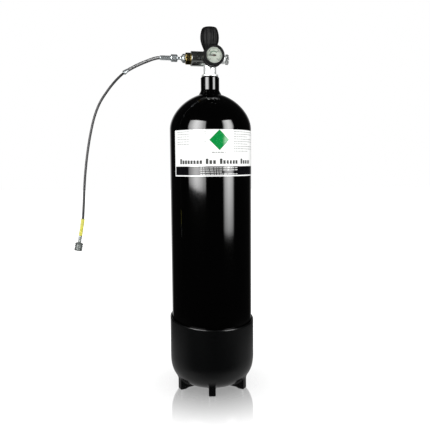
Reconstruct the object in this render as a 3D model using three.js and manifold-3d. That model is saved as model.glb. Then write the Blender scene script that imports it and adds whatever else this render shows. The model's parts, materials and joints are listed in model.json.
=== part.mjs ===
// Compressed-air charging cylinder with its valve, pressure gauge and fill hose.
// Millimetres, +Z up. The origin is on the cylinder's axis at floor level and the front faces -Y.
import * as THREE from 'three';
import { mergeVertices } from 'three/addons/utils/BufferGeometryUtils.js';
import Module from 'manifold-3d';

const wasm = await Module();
wasm.setup();

// ---------------------------------------------------------------- driving dimensions
const GAP = 0.3;

// Steel cylinder
const CYL_R = 85.5;
const CYL_WALL = 5;
const CYL_BOTTOM_Z = 7;
const CYL_DOME_TOP_Z = 80;
const CYL_DOME_POWER = 2.6;
const SHOULDER_Z = 550;
const SHOULDER_RISE = 75;
const SHOULDER_POWER = 1.8;
const NECK_R = 19.3;
const NECK_TOP_Z = 657.5;
const NECK_BORE_R = 12.5;
const NECK_RECESS_R = 14.9;
const NECK_RECESS_DEPTH = 2.5;

// Boot: a rubber cup with radial feet and a rim that sits slightly askew
const BOOT_R = 90;
const BOOT_INNER_R = 86;
const BOOT_RIM_Z = 148.3;
const BOOT_DOME_TOP_Z = 70;
const BOOT_DOME_DEPTH = 69;
const BOOT_DOME_POWER = 2.8;
const BOOT_RIM_LEAN_X = -0.047;
const BOOT_RIM_LEAN_Y = 0.062;
const FOOT_COUNT = 6;
const FOOT_R = 80;
const FOOT_PAD_R = 70;
const FOOT_INNER_R = 36;
const FOOT_WIDTH = 14.5;
const FOOT_ARCH = 2.2;

// Paper label
const LABEL_BOTTOM_Z = 452.4;
const LABEL_TOP_Z = 544.5;
const LABEL_START_DEG = -56;
const LABEL_END_DEG = 88;
const LABEL_INNER_R = 85.9;
const LABEL_OUTER_R = 86.25;

// Valve: everything above the neck is turned about the cylinder's axis
const VALVE_TURN_DEG = 11;
const AXIS_Z = 694.2;
const STEM_R = 13.2;
const FLANGE_R = 17.4;
const CROSS_R = 13.5;
const BONNET_BORE_R = 8.4;
const VALVE_TOP_Z = 708;
const SEAT_Z = 689;
const SEAT_POCKET_Z = 691;
const TANG_BOTTOM_Z = 694.5;
const TANG_SLOT_Z = 692.2;
const PASSAGE_R = 2.2;
const BLEED_ARM_END = 31.5;
const KNOB_FLUTES = 12;
const GAUGE_BOSS_END = -17;

// Handwheel
const WHEEL_BOTTOM_Z = 711.7;
const WHEEL_TOP_Z = 758;
const WHEEL_FLUTES = 8;
const WHEEL_FLUTE_DEPTH = 1.1;
const SQUARE_SIDE = 6;
const INSERT_TOP_Z = 744;

// Gauge
const GAUGE_Z = 693.4;
const GAUGE_BACK = -25;
const GAUGE_FRONT = -48;
const GAUGE_CASE_R = 18.2;
const GAUGE_BOOT_R = 21.4;
const GAUGE_WINDOW_R = 15.7;
const SECTOR_PIVOT_DROP = 9;
const SECTOR_R = 7.1;
const SECTOR_HALF_DEG = 36;
const SECTOR_MIDDLE_DEG = 70;
const PINION_R = 1.6;

// Outlet, connector and hose
const OUTLET_END = -40.4;
const OUTLET_R = 15.15;
const SOCKET_R = 11.75;
const SOCKET_FLOOR = -24.4;
const NUT_END = -51.5;
const UNION_END = -61.5;
const HOSE_NUT_START = -67.4;
const HOSE_NUT_END = -81.9;
const FERRULE_END = -104.3;
const FERRULE_R = 4.75;
const HOSE_R = 2.4;
const SLEEVE_BORE_R = 2.95;
const HOSE_STEPS = 40;
const CRIMP_LENGTH = 14;
const END_NUT_START = 14.4;
const END_NUT_END = 30.6;

// Hose centreline in the valve's plane: distance from the cylinder's axis and height.
const HOSE_ROUTE = [
  [-90, 694.2], [-97, 694.2], [-104.3, 694.1], [-112, 693], [-120, 690.6], [-129, 687],
  [-145, 680.2], [-160, 672.6], [-174, 664.3], [-187.5, 652.8], [-200.5, 638.7], [-213, 622.4],
  [-224.5, 605], [-233, 587.3], [-239.7, 567.8], [-244.8, 547.8], [-249.1, 527.7], [-252.7, 507.8],
  [-255.7, 488.3], [-258.2, 469.2], [-260.3, 450], [-262, 430], [-263.5, 408], [-265, 387],
  [-266.5, 369.4], [-268.7, 355], [-271.3, 340.4], [-272.6, 333.2], [-274.1, 325],
];
// Places along the hose, measured from its start inside the ferrule.
const GUARD_START = 14.7;
const GUARD_END = 84.5;
const GUARD_CAP_LENGTH = 10.5;
const YELLOW_START = 412.4;
const YELLOW_END = 447;
const CRIMP_START = 447.4;

// Mesh fineness
const BIG = 40;
const MID = 20;
const SMALL = 16;

// ---------------------------------------------------------------- finishes
function finish(color, roughness, metalness = 0) {
  return new THREE.MeshStandardMaterial({ color, roughness, metalness });
}
const gloss_black = () => finish(0x050505, 0.12);
const rubber = () => finish(0x17191a, 0.65);
const chrome = () => finish(0xd4d8d8, 0.12, 1);
const brass = () => finish(0xb08a3c, 0.3, 1);
const steel = () => finish(0x8c9090, 0.35, 1);

// ---------------------------------------------------------------- geometry helpers
function lathe(profile, segments = MID) {
  const points = profile.map(([r, z]) => new THREE.Vector2(r, z));
  return new THREE.LatheGeometry(points, segments).rotateX(Math.PI / 2);
}

// A ring's profile closes on itself, and runs counter-clockwise so that its faces point out.
function ring(profile, segments = MID) {
  const outline = profile.map(([r, z]) => new THREE.Vector2(r, z));
  const turned = THREE.ShapeUtils.area(outline) < 0 ? [...profile].reverse() : profile;
  return lathe([...turned, turned[0]], segments);
}

function torus(radius, tube, z) {
  return new THREE.TorusGeometry(radius, tube, 6, MID).translate(0, 0, z);
}

// Lathes are drawn about Z. These lay that axis along X or Y, so the profile's height becomes x or y.
function alongX(geometry, z = AXIS_Z) {
  return geometry.rotateY(Math.PI / 2).translate(0, 0, z);
}

function alongY(geometry, z = GAUGE_Z) {
  return geometry.rotateX(-Math.PI / 2).translate(0, 0, z);
}

function rod(radius, from, to, segments = MID) {
  return lathe([[0, from], [radius, from], [radius, to], [0, to]], segments);
}

function block(width, depth, from, to) {
  return new THREE.BoxGeometry(width, depth, to - from).translate(0, 0, (from + to) / 2);
}

function polygon(radius, sides) {
  const points = [];
  for (let i = 0; i < sides; i += 1) {
    const turn = (2 * Math.PI * i) / sides;
    points.push(new THREE.Vector2(radius * Math.cos(turn), radius * Math.sin(turn)));
  }
  return points;
}

// A superellipse quarter from the wall (r = radius) to the smallest radius asked for.
function dome(radius, innerRadius, z, rise, power, steps) {
  const points = [];
  const last = Math.acos((innerRadius / radius) ** (power / 2));
  for (let i = 0; i <= steps; i += 1) {
    const t = (last * i) / steps;
    points.push([radius * Math.cos(t) ** (2 / power), z + rise * Math.sin(t) ** (2 / power)]);
  }
  return points;
}

// ---------------------------------------------------------------- booleans
function toSolid(geometry) {
  const bare = geometry.clone();
  bare.deleteAttribute('normal');
  bare.deleteAttribute('uv');
  const merged = mergeVertices(bare, 1e-4);
  const triangles = [];
  for (let i = 0; i < merged.index.count; i += 3) {
    const [a, b, c] = [0, 1, 2].map((k) => merged.index.getX(i + k));
    if (a !== b && b !== c && c !== a) triangles.push(a, b, c);
  }
  return new wasm.Manifold(new wasm.Mesh({
    numProp: 3,
    vertProperties: new Float32Array(merged.attributes.position.array),
    triVerts: new Uint32Array(triangles),
  }));
}

function fromSolid(solid) {
  const mesh = solid.getMesh();
  const geometry = new THREE.BufferGeometry();
  geometry.setAttribute('position', new THREE.BufferAttribute(new Float32Array(mesh.vertProperties), 3));
  geometry.setIndex(new THREE.BufferAttribute(new Uint32Array(mesh.triVerts), 1));
  geometry.computeVertexNormals();
  return geometry;
}

function join(...geometries) {
  return geometries.map(toSolid).reduce((whole, piece) => whole.add(piece));
}

function carve(solid, ...geometries) {
  return geometries.map(toSolid).reduce((whole, piece) => whole.subtract(piece), solid);
}

// A hexagon prism whose corners are turned off at both ends.
function hexagon(flats, from, to, chamfer = 1) {
  const corner = flats / Math.sqrt(3);
  const prism = new THREE.CylinderGeometry(corner, corner, to - from, 6).rotateX(Math.PI / 2);
  prism.translate(0, 0, (from + to) / 2);
  const inner = corner - 1.7 * chamfer;
  const turned = lathe([
    [0, from], [inner, from], [corner + 0.1, from + chamfer],
    [corner + 0.1, to - chamfer], [inner, to], [0, to],
  ]);
  return toSolid(prism).intersect(toSolid(turned));
}

// ---------------------------------------------------------------- scene graph
const object = new THREE.Group();
const valve = new THREE.Group();
valve.rotation.z = THREE.MathUtils.degToRad(VALVE_TURN_DEG);
object.add(valve);

function place(parent, name, shape, material) {
  const geometry = shape.isBufferGeometry ? shape : fromSolid(shape);
  const mesh = new THREE.Mesh(geometry, material);
  mesh.name = name;
  parent.add(mesh);
  return mesh;
}

// ---------------------------------------------------------------- cylinder, boot, label
function cylinderShell() {
  const bottom = dome(CYL_R, 0, CYL_DOME_TOP_Z, CYL_BOTTOM_Z - CYL_DOME_TOP_Z, CYL_DOME_POWER, 6).reverse();
  const shoulder = dome(CYL_R, 24, SHOULDER_Z, SHOULDER_RISE, SHOULDER_POWER, 7);
  const innerR = CYL_R - CYL_WALL;
  const innerShoulder = dome(innerR, 16, SHOULDER_Z, SHOULDER_RISE - CYL_WALL, SHOULDER_POWER, 4).reverse();
  const innerBottomRise = CYL_BOTTOM_Z + CYL_WALL + 2 - CYL_DOME_TOP_Z;
  const innerBottom = dome(innerR, 0, CYL_DOME_TOP_Z, innerBottomRise, CYL_DOME_POWER, 3);
  return lathe([
    ...bottom,
    ...shoulder,
    [20.4, 627], [NECK_R, 630.5],
    [NECK_R, NECK_TOP_Z - 2.2], [NECK_R - 1.8, NECK_TOP_Z], [NECK_RECESS_R, NECK_TOP_Z],
    [NECK_RECESS_R, NECK_TOP_Z - NECK_RECESS_DEPTH], [NECK_BORE_R, NECK_TOP_Z - NECK_RECESS_DEPTH],
    [NECK_BORE_R, 622],
    ...innerShoulder,
    ...innerBottom,
  ], BIG);
}

function bootOuterZ(r) {
  const cosine = (r / BOOT_R) ** (BOOT_DOME_POWER / 2);
  return BOOT_DOME_TOP_Z - BOOT_DOME_DEPTH * Math.sqrt(1 - cosine ** 2) ** (2 / BOOT_DOME_POWER);
}

function bootShell() {
  const outer = dome(BOOT_R, 0, BOOT_DOME_TOP_Z, -BOOT_DOME_DEPTH, BOOT_DOME_POWER, 8).reverse();
  const innerRise = CYL_BOTTOM_Z - 0.5 - CYL_DOME_TOP_Z;
  const inner = dome(BOOT_INNER_R, 0, CYL_DOME_TOP_Z, innerRise, CYL_DOME_POWER, 6);
  const cup = lathe([
    ...outer,
    [BOOT_R, BOOT_RIM_Z - 2], [BOOT_R - 1, BOOT_RIM_Z], [BOOT_INNER_R, BOOT_RIM_Z],
    ...inner,
  ], BIG);
  const position = cup.attributes.position;
  for (let i = 0; i < position.count; i += 1) {
    const height = (position.getZ(i) - CYL_DOME_TOP_Z) / (BOOT_RIM_Z - CYL_DOME_TOP_Z);
    const lean = BOOT_RIM_LEAN_X * position.getX(i) + BOOT_RIM_LEAN_Y * position.getY(i);
    position.setZ(i, position.getZ(i) + Math.max(0, height) * lean);
  }
  return cup;
}

// A foot is an upright radial web with a flat pad at its outer end.
function foot() {
  const top = [];
  for (let r = FOOT_R - 1; r >= FOOT_INNER_R; r -= 6) {
    top.push(new THREE.Vector2(r - 1, bootOuterZ(r) + 2));
  }
  const outline = new THREE.Shape([
    new THREE.Vector2(FOOT_INNER_R, FOOT_ARCH), new THREE.Vector2(54, FOOT_ARCH),
    new THREE.Vector2(FOOT_PAD_R - 4, FOOT_ARCH / 2), new THREE.Vector2(FOOT_PAD_R, 0),
    new THREE.Vector2(FOOT_R, 0), new THREE.Vector2(FOOT_R, bootOuterZ(FOOT_R) + 1),
    ...top,
  ]);
  const web = new THREE.ExtrudeGeometry(outline, { depth: FOOT_WIDTH, bevelEnabled: false, steps: 1 });
  return web.translate(0, 0, -FOOT_WIDTH / 2).rotateX(Math.PI / 2);
}

function boot() {
  const feet = [];
  for (let i = 0; i < FOOT_COUNT; i += 1) {
    feet.push(foot().rotateZ(-Math.PI / 2 + (2 * Math.PI * i) / FOOT_COUNT));
  }
  return join(bootShell(), ...feet);
}

function label() {
  const front = -Math.PI / 2;
  const start = front + THREE.MathUtils.degToRad(LABEL_START_DEG);
  const end = front + THREE.MathUtils.degToRad(LABEL_END_DEG);
  const outline = new THREE.Shape();
  outline.absarc(0, 0, LABEL_OUTER_R, start, end, false);
  outline.absarc(0, 0, LABEL_INNER_R, end, start, true);
  const depth = LABEL_TOP_Z - LABEL_BOTTOM_Z;
  const sheet = new THREE.ExtrudeGeometry(outline, { depth, bevelEnabled: false, curveSegments: 12 });
  return sheet.translate(0, 0, LABEL_BOTTOM_Z);
}

place(object, 'cylinder', cylinderShell(), gloss_black());
place(object, 'boot', boot(), rubber());
place(object, 'label', label(), finish(0xf2f2ee, 0.45));

// ---------------------------------------------------------------- valve body and its seals
function valveBody() {
  const stem = lathe([
    [0, 626], [11.4, 626], [12.1, 627], [12.1, 658], [FLANGE_R, 658], [FLANGE_R, 661.6],
    [STEM_R, 663], [STEM_R, 694], [11.4, 697], [11.4, VALVE_TOP_Z], [0, VALVE_TOP_Z],
  ]);
  const cross = alongX(lathe([
    [0, -13.2], [CROSS_R - 0.8, -13.2], [CROSS_R, -12.4], [CROSS_R, 12], [10, 14], [9, 15],
    [9, BLEED_ARM_END - 1], [8, BLEED_ARM_END], [0, BLEED_ARM_END],
  ]));
  const gaugeBoss = alongY(rod(9, GAUGE_BOSS_END, 0));
  return carve(
    join(stem, cross, gaugeBoss),
    rod(4.3, 625, 638.5),
    rod(PASSAGE_R, 638, 690, SMALL),
    rod(BONNET_BORE_R, SEAT_Z, VALVE_TOP_Z + 1),
    alongX(rod(7.3, -14, -9.3)),
    alongX(rod(PASSAGE_R, -10, 26, SMALL)),
    alongX(rod(2.1, 9, BLEED_ARM_END + 1, SMALL)),
    alongY(rod(5, GAUGE_BOSS_END - 1, -11, SMALL)),
    alongY(rod(1.5, -12, 0, SMALL)),
  );
}

place(valve, 'valve_body', valveBody(), chrome());
place(object, 'neck_o_ring', torus(13.4, 1.1, 656.4), rubber());
place(valve, 'dip_tube', ring([[2.5, 585], [4, 585], [4, 638], [2.5, 638]], SMALL), brass());

// ---------------------------------------------------------------- handwheel and valve works
function bonnet() {
  const nut = hexagon(19, VALVE_TOP_Z + GAP, 711.3, 0.8);
  return carve(
    nut.add(toSolid(rod(8.1, 701.7, 709))).add(toSolid(rod(7, 711, 714))),
    rod(4.2, 700, 715, SMALL),
  );
}

function spindle() {
  const turned = lathe([
    [0, 699.5], [6.4, 699.5], [6.4, 701.4], [4, 701.4], [4, 716], [2.9, 716],
    [2.9, 751.2], [2.4, 751.8], [0, 751.8],
  ], SMALL);
  const tang = block(9, 2.4, TANG_BOTTOM_Z, 700);
  const square = block(SQUARE_SIDE, SQUARE_SIDE, 716, INSERT_TOP_Z - 0.5);
  return join(turned, tang, square);
}

function seatCarrier() {
  const turned = ring([
    [3.5, SEAT_Z + 0.6], [7.6, SEAT_Z + 0.6], [7.9, SEAT_Z + 1], [7.9, 696], [7.6, 696.2], [0.9, 696.2],
    [0.9, SEAT_POCKET_Z], [3.5, SEAT_POCKET_Z],
  ], SMALL);
  return carve(toSolid(turned), block(16.4, 3, TANG_SLOT_Z, 697));
}

function wheelInsert() {
  const turned = ring([
    [4.6, 711.9], [10.4, 711.9], [10.4, 716], [8, 716.5], [8, INSERT_TOP_Z], [4.6, INSERT_TOP_Z],
  ]);
  const hub = toSolid(turned).add(toSolid(rod(5, 716, INSERT_TOP_Z)));
  return carve(hub, block(SQUARE_SIDE + 0.5, SQUARE_SIDE + 0.5, 711, INSERT_TOP_Z + 1), rod(7.6, 711, 715));
}

// The grip is a barrel with upright flutes that fade out towards both ends.
function wheelGrip() {
  const grip = ring([
    [10.7, WHEEL_BOTTOM_Z], [11.9, WHEEL_BOTTOM_Z], [14.2, 716.5], [16.6, 723], [18.3, 730], [19, 737],
    [19, 744], [17.6, 750.8], [16, 755.4], [14.2, 757.4], [12.2, WHEEL_TOP_Z], [7.6, WHEEL_TOP_Z],
    [7.6, INSERT_TOP_Z + GAP], [8.3, INSERT_TOP_Z + GAP], [8.3, 716.8], [10.7, 716.4],
  ], WHEEL_FLUTES * 4);
  const position = grip.attributes.position;
  for (let i = 0; i < position.count; i += 1) {
    const [x, y, z] = [position.getX(i), position.getY(i), position.getZ(i)];
    const r = Math.hypot(x, y);
    if (r > 11) {
      const height = (z - WHEEL_BOTTOM_Z) / (WHEEL_TOP_Z - WHEEL_BOTTOM_Z);
      const groove = (1 - Math.cos(WHEEL_FLUTES * Math.atan2(y, x))) / 2;
      const scale = 1 - (WHEEL_FLUTE_DEPTH * groove * Math.sin(Math.PI * height)) / r;
      position.setXY(i, x * scale, y * scale);
    }
  }
  return grip;
}

place(valve, 'bonnet', bonnet(), chrome());
place(valve, 'spindle', spindle(), steel());
place(valve, 'seat_carrier', seatCarrier(), brass());
const seatDisc = rod(3.2, SEAT_Z + GAP, SEAT_POCKET_Z - 0.2, SMALL);
place(valve, 'valve_seat', seatDisc, finish(0xe8e4d6, 0.5));
place(valve, 'handwheel_insert', wheelInsert(), brass());
place(valve, 'handwheel_grip', wheelGrip(), rubber());
const washer = ring([[3.2, 744.3], [6.6, 744.3], [6.6, 745.5], [3.2, 745.5]], SMALL);
place(valve, 'handwheel_washer', washer, steel());
place(valve, 'handwheel_nut', carve(hexagon(10, 745.8, 750, 0.5), rod(3.2, 745, 751, SMALL)), steel());

// ---------------------------------------------------------------- pressure gauge
function gaugeStem() {
  const hex = hexagon(14, -24.7, GAUGE_BOSS_END - GAP, 0.8);
  const thread = rod(4.7, GAUGE_BOSS_END - 1, -11.4, SMALL);
  const spigot = rod(2.6, -30, -24, SMALL);
  const bored = carve(hex.add(toSolid(thread)).add(toSolid(spigot)), rod(1, -29, -11, 8));
  return alongY(fromSolid(bored));
}

function gaugeCase() {
  return alongY(ring([
    [2.9, GAUGE_BACK - 1.5], [16.9, GAUGE_BACK - 1.5], [16.9, GAUGE_FRONT], [GAUGE_CASE_R, GAUGE_FRONT],
    [GAUGE_CASE_R, GAUGE_BACK - 2], [GAUGE_CASE_R - 2, GAUGE_BACK], [2.9, GAUGE_BACK],
  ]));
}

function gaugeBoot() {
  return alongY(ring([
    [18.5, GAUGE_BACK - 2.5], [GAUGE_BOOT_R - 1.2, GAUGE_BACK - 2.5], [GAUGE_BOOT_R, -29],
    [GAUGE_BOOT_R, -48.6], [19.6, -50.6], [GAUGE_WINDOW_R + 0.7, -50.6],
    [GAUGE_WINDOW_R, -49.6], [18.5, -49.6],
  ]));
}

// A flattened tube bent into an open C, fixed at one end and closed at the other.
function bourdonTube() {
  const bend = [];
  for (let i = 0; i <= 12; i += 1) {
    const turn = THREE.MathUtils.degToRad(-80 + (250 * i) / 12);
    bend.push(new THREE.Vector3(12.5 * Math.cos(turn), -33, GAUGE_Z + 12.5 * Math.sin(turn)));
  }
  const section = new THREE.Shape(polygon(1, 8).map((p) => new THREE.Vector2(p.x * 1.8, p.y * 1.8)));
  const path = new THREE.CatmullRomCurve3(bend);
  return new THREE.ExtrudeGeometry(section, { steps: 14, bevelEnabled: false, extrudePath: path });
}

// The pointer rests level, pointing to the left, with a short tail and a pinion on its arbor.
function gaugePointer() {
  const arbor = rod(0.6, -46, -38, 8);
  const hub = rod(2, -46.4, -45, SMALL);
  const pinion = rod(PINION_R, -40.2, -39, SMALL);
  const outline = new THREE.Shape([
    new THREE.Vector2(-12.6, -0.15), new THREE.Vector2(4.2, -0.8),
    new THREE.Vector2(4.2, 0.8), new THREE.Vector2(-12.6, 0.15),
  ]);
  const blade = new THREE.ExtrudeGeometry(outline, { depth: 0.5, bevelEnabled: false });
  blade.translate(0, 0, -45.8);
  return alongY(fromSolid(join(arbor, hub, pinion, blade)));
}

function gaugeSector() {
  const half = THREE.MathUtils.degToRad(SECTOR_HALF_DEG);
  const middle = THREE.MathUtils.degToRad(SECTOR_MIDDLE_DEG);
  const outline = new THREE.Shape();
  outline.moveTo(-1.6, 0);
  outline.lineTo(0, -1.6);
  outline.lineTo(1.6, 0);
  outline.absarc(0, 0, SECTOR_R, middle - half, middle + half, false);
  const fan = new THREE.ExtrudeGeometry(outline, { depth: 1, bevelEnabled: false, curveSegments: 8 });
  fan.rotateX(Math.PI / 2).translate(0, -39.1, 0);
  const arbor = rod(0.9, -42, -37, 8).rotateX(-Math.PI / 2);
  return join(fan, arbor).translate([0, 0, GAUGE_Z - SECTOR_PIVOT_DROP]);
}

const dialPlate = ring([[0.9, -44.3], [16.5, -44.3], [16.5, -43.5], [0.9, -43.5]]);
const bezel = ring([[16, -49.3], [GAUGE_CASE_R, -49.3], [GAUGE_CASE_R, -48.3], [16, -48.3]]);
place(valve, 'gauge_stem', gaugeStem(), brass());
place(valve, 'gauge_case', gaugeCase(), steel());
place(valve, 'gauge_boot', gaugeBoot(), rubber());
place(valve, 'gauge_bezel', alongY(bezel), chrome());
place(valve, 'gauge_lens', alongY(rod(16.5, -48, -46.9)), finish(0xe8f4f0, 0.05));
place(valve, 'gauge_dial', alongY(dialPlate), finish(0xf4f4ea, 0.5));
place(valve, 'gauge_pointer', gaugePointer(), finish(0x2a2018, 0.5));
place(valve, 'gauge_sector', gaugeSector(), brass());
place(valve, 'bourdon_tube', bourdonTube(), brass());

// ---------------------------------------------------------------- bleed screw
function bleedKnob() {
  const turned = ring([
    [2.1, 32.1], [7, 32.1], [7, 33], [10.2, 33], [10.8, 33.8], [10.8, 38.2], [10, 39], [2.1, 39],
  ], KNOB_FLUTES * 3);
  const position = turned.attributes.position;
  for (let i = 0; i < position.count; i += 1) {
    const [x, y] = [position.getX(i), position.getY(i)];
    const r = Math.hypot(x, y);
    if (r > 9) {
      const scale = 1 - (0.9 * (1 - Math.cos(KNOB_FLUTES * Math.atan2(y, x)))) / 2 / r;
      position.setXY(i, x * scale, y * scale);
    }
  }
  return alongX(turned);
}

place(valve, 'bleed_pin', alongX(lathe([
  [0, 9.4], [1.7, 12], [1.7, 30], [1.7, 39.6], [1.2, 40], [0, 40],
], SMALL)), steel());
place(valve, 'bleed_knob', bleedKnob(), chrome());

// ---------------------------------------------------------------- outlet and screw-in connector
const outletSleeve = ring([
  [PASSAGE_R, SOCKET_FLOOR], [SOCKET_R, SOCKET_FLOOR], [SOCKET_R, OUTLET_END], [OUTLET_R - 1, OUTLET_END],
  [OUTLET_R, OUTLET_END + 1], [OUTLET_R, -14.5], [OUTLET_R - 1, -13.5], [7, -13.5],
  [7, -9.7], [PASSAGE_R, -9.7],
]);

const connectorNipple = ring([
  [1.5, -24.7], [5.9, -24.7], [5.9, -26.7], [8.3, -26.7], [8.3, -24.7], [9.5, -24.7], [9.5, -28.2],
  [6, -28.2], [6, -51.8], [4, -51.8], [4, -46.2], [1.5, -46.2],
], SMALL);

function connectorNut() {
  const hex = hexagon(21.5, NUT_END, OUTLET_END - 0.4, 1);
  return alongX(fromSolid(carve(hex.add(toSolid(rod(11.4, -42, -28.5))), rod(6.3, -53, -27))));
}

function hexUnion() {
  const hex = hexagon(16.5, -57.5, NUT_END - 0.6, 0.8);
  const turned = lathe([
    [0, -72], [2.85, -72], [2.85, UNION_END], [3.4, UNION_END + 0.4], [7.8, -57.2],
    [3.7, -52.5], [3.7, -46.6], [0, -46.6],
  ], SMALL);
  return alongX(fromSolid(carve(hex.add(toSolid(turned)), rod(1, -73, -46, 8))));
}

function hoseNut() {
  const hex = hexagon(13.6, HOSE_NUT_END, HOSE_NUT_START, 1.6);
  const bores = [rod(3.2, -72.4, -66, SMALL), rod(1.4, -76, -72, 8), rod(3.7, -83, -75.6, SMALL)];
  return alongX(fromSolid(carve(hex, ...bores)));
}

const hoseFerrule = ring([
  [1.2, HOSE_NUT_END + 6], [1.2, -89.6], [2.8, -89.6], [2.8, FERRULE_END], [FERRULE_R - 0.5, FERRULE_END],
  [FERRULE_R, FERRULE_END + 0.6], [FERRULE_R, HOSE_NUT_END - 1], [FERRULE_R - 0.7, HOSE_NUT_END - GAP],
  [3.4, HOSE_NUT_END - GAP], [3.4, HOSE_NUT_END + 6],
], SMALL);

place(valve, 'outlet_sleeve', alongX(outletSleeve), finish(0x4a4e4e, 0.18, 1));
place(valve, 'connector_nut', connectorNut(), brass());
place(valve, 'connector_nipple', alongX(connectorNipple), brass());
place(valve, 'connector_o_ring', alongX(torus(7.1, 0.85, -25.6)), rubber());
place(valve, 'hex_union', hexUnion(), chrome());
place(valve, 'hose_nut', hoseNut(), chrome());
place(valve, 'hose_ferrule', alongX(hoseFerrule), chrome());

// ---------------------------------------------------------------- hose and the pieces on it
const route = new THREE.CatmullRomCurve3(
  HOSE_ROUTE.map(([x, z]) => new THREE.Vector3(x, 0, z)), false, 'centripetal');

const hoseLength = route.getLength();

// The part of the route between two lengths along it.
class Stretch extends THREE.Curve {
  constructor(from, to) {
    super();
    this.from = from / hoseLength;
    this.to = to / hoseLength;
  }

  getPoint(t, target = new THREE.Vector3()) {
    return target.copy(route.getPointAt(this.from + (this.to - this.from) * t));
  }
}

function tube(from, to, steps, radius, boreRadius = 0) {
  const section = new THREE.Shape(polygon(radius, 10));
  if (boreRadius > 0) section.holes.push(new THREE.Path(polygon(boreRadius, 10).reverse()));
  const extrudePath = new Stretch(from, to);
  return new THREE.ExtrudeGeometry(section, { steps, bevelEnabled: false, extrudePath });
}

// Seats a turned piece on the hose: its own Z runs along the hose, away from the valve.
function onHose(mesh, at) {
  mesh.position.copy(route.getPointAt(at / hoseLength));
  mesh.quaternion.setFromUnitVectors(new THREE.Vector3(0, 0, 1), route.getTangentAt(at / hoseLength));
}

const guardCapHalf = GUARD_CAP_LENGTH / 2;
const guardCap = ring([
  [3.1, -guardCapHalf], [3.8, -guardCapHalf], [3.9, -1.2], [4.6, 3.2],
  [4.6, guardCapHalf], [3.1, guardCapHalf],
], SMALL);

const endCrimp = ring([
  [2.8, 0], [3.15, 0], [3.3, 0.6], [3.3, CRIMP_LENGTH - 0.6], [2.9, CRIMP_LENGTH], [2.4, CRIMP_LENGTH],
  [2.4, 18], [4, 18], [4, 20], [1.8, 22.6], [0.9, 22.6], [0.9, 8], [2.8, 8],
], SMALL);

function endNut() {
  const hex = hexagon(14, END_NUT_START, END_NUT_END, 1);
  return carve(hex, rod(2.7, 14, 18, SMALL), rod(4.5, 17.7, 31));
}

place(valve, 'hose', tube(0, hoseLength, HOSE_STEPS, HOSE_R), finish(0x0c0c0e, 0.5));
place(valve, 'spring_guard', tube(GUARD_START, GUARD_END, 9, 3.5, SLEEVE_BORE_R), steel());
onHose(place(valve, 'guard_cap', guardCap, chrome()), GUARD_END + GAP + guardCapHalf);
place(valve, 'yellow_sleeve', tube(YELLOW_START, YELLOW_END, 4, 3.6, SLEEVE_BORE_R), finish(0xe4e04a, 0.4));
onHose(place(valve, 'end_crimp', endCrimp, steel()), CRIMP_START);
onHose(place(valve, 'end_nut', endNut(), chrome()), CRIMP_START);

export default object;
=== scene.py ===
import json
import math

import bmesh
import bpy
import numpy as np
from mathutils import Matrix, Vector


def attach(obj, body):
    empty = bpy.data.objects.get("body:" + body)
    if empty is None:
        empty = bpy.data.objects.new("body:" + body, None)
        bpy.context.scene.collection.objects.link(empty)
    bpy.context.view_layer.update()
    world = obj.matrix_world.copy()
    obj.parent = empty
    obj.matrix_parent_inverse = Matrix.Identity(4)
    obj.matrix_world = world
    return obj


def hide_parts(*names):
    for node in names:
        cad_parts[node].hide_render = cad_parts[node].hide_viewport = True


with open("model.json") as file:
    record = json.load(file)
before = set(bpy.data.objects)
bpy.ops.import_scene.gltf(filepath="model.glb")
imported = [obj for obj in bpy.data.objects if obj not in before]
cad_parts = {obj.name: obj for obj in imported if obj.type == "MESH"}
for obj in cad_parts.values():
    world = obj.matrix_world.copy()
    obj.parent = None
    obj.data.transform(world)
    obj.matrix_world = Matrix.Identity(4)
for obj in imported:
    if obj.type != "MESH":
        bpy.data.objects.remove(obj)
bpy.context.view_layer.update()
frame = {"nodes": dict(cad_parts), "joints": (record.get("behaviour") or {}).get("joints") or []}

MM = 0.001
JOINTS = {joint["name"]: joint for joint in frame["joints"]}

# ---------------------------------------------------------------- the frame's own places
outlet_way = Vector(JOINTS["connector_travel"]["axis"])
VALVE_TURN = math.atan2(-outlet_way.y, -outlet_way.x)
AXIS_Z = JOINTS["connector_nut_turn"]["pos_m"][2] / MM
GAUGE_Z = JOINTS["pointer_turn"]["pos_m"][2] / MM
VALVE = Matrix.Rotation(VALVE_TURN, 4, "Z")
CROSS = VALVE @ Matrix.Translation((0, 0, AXIS_Z * MM)) @ Matrix.Rotation(math.pi / 2, 4, "Y")
GAUGE = VALVE @ Matrix.Translation((0, 0, GAUGE_Z * MM)) @ Matrix.Rotation(-math.pi / 2, 4, "X")
UPRIGHT = Matrix.Identity(4)

# ---------------------------------------------------------------- camera
CAMERA_PLACE = (0.0063, -1.136, 0.4765)
CAMERA_TILT_DEG = 84.55
CAMERA_YAW_DEG = -0.11
CAMERA_ROLL_DEG = -0.43
CAMERA_LENS = 44.6

camera = bpy.data.objects.new("camera", bpy.data.cameras.new("camera"))
bpy.context.scene.collection.objects.link(camera)
camera.data.lens = CAMERA_LENS
camera.matrix_world = (
    Matrix.Translation(CAMERA_PLACE)
    @ Matrix.Rotation(math.radians(CAMERA_YAW_DEG), 4, "Z")
    @ Matrix.Rotation(math.radians(CAMERA_TILT_DEG), 4, "X")
    @ Matrix.Rotation(math.radians(CAMERA_ROLL_DEG), 4, "Z")
)
bpy.context.scene.camera = camera


# ---------------------------------------------------------------- node helpers
def new_material(name):
    material = bpy.data.materials.new(name)
    material.use_nodes = True
    return material, material.node_tree.nodes, material.node_tree.links


def add(nodes, kind, **settings):
    node = nodes.new(kind)
    for key, value in settings.items():
        setattr(node, key, value)
    return node


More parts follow.
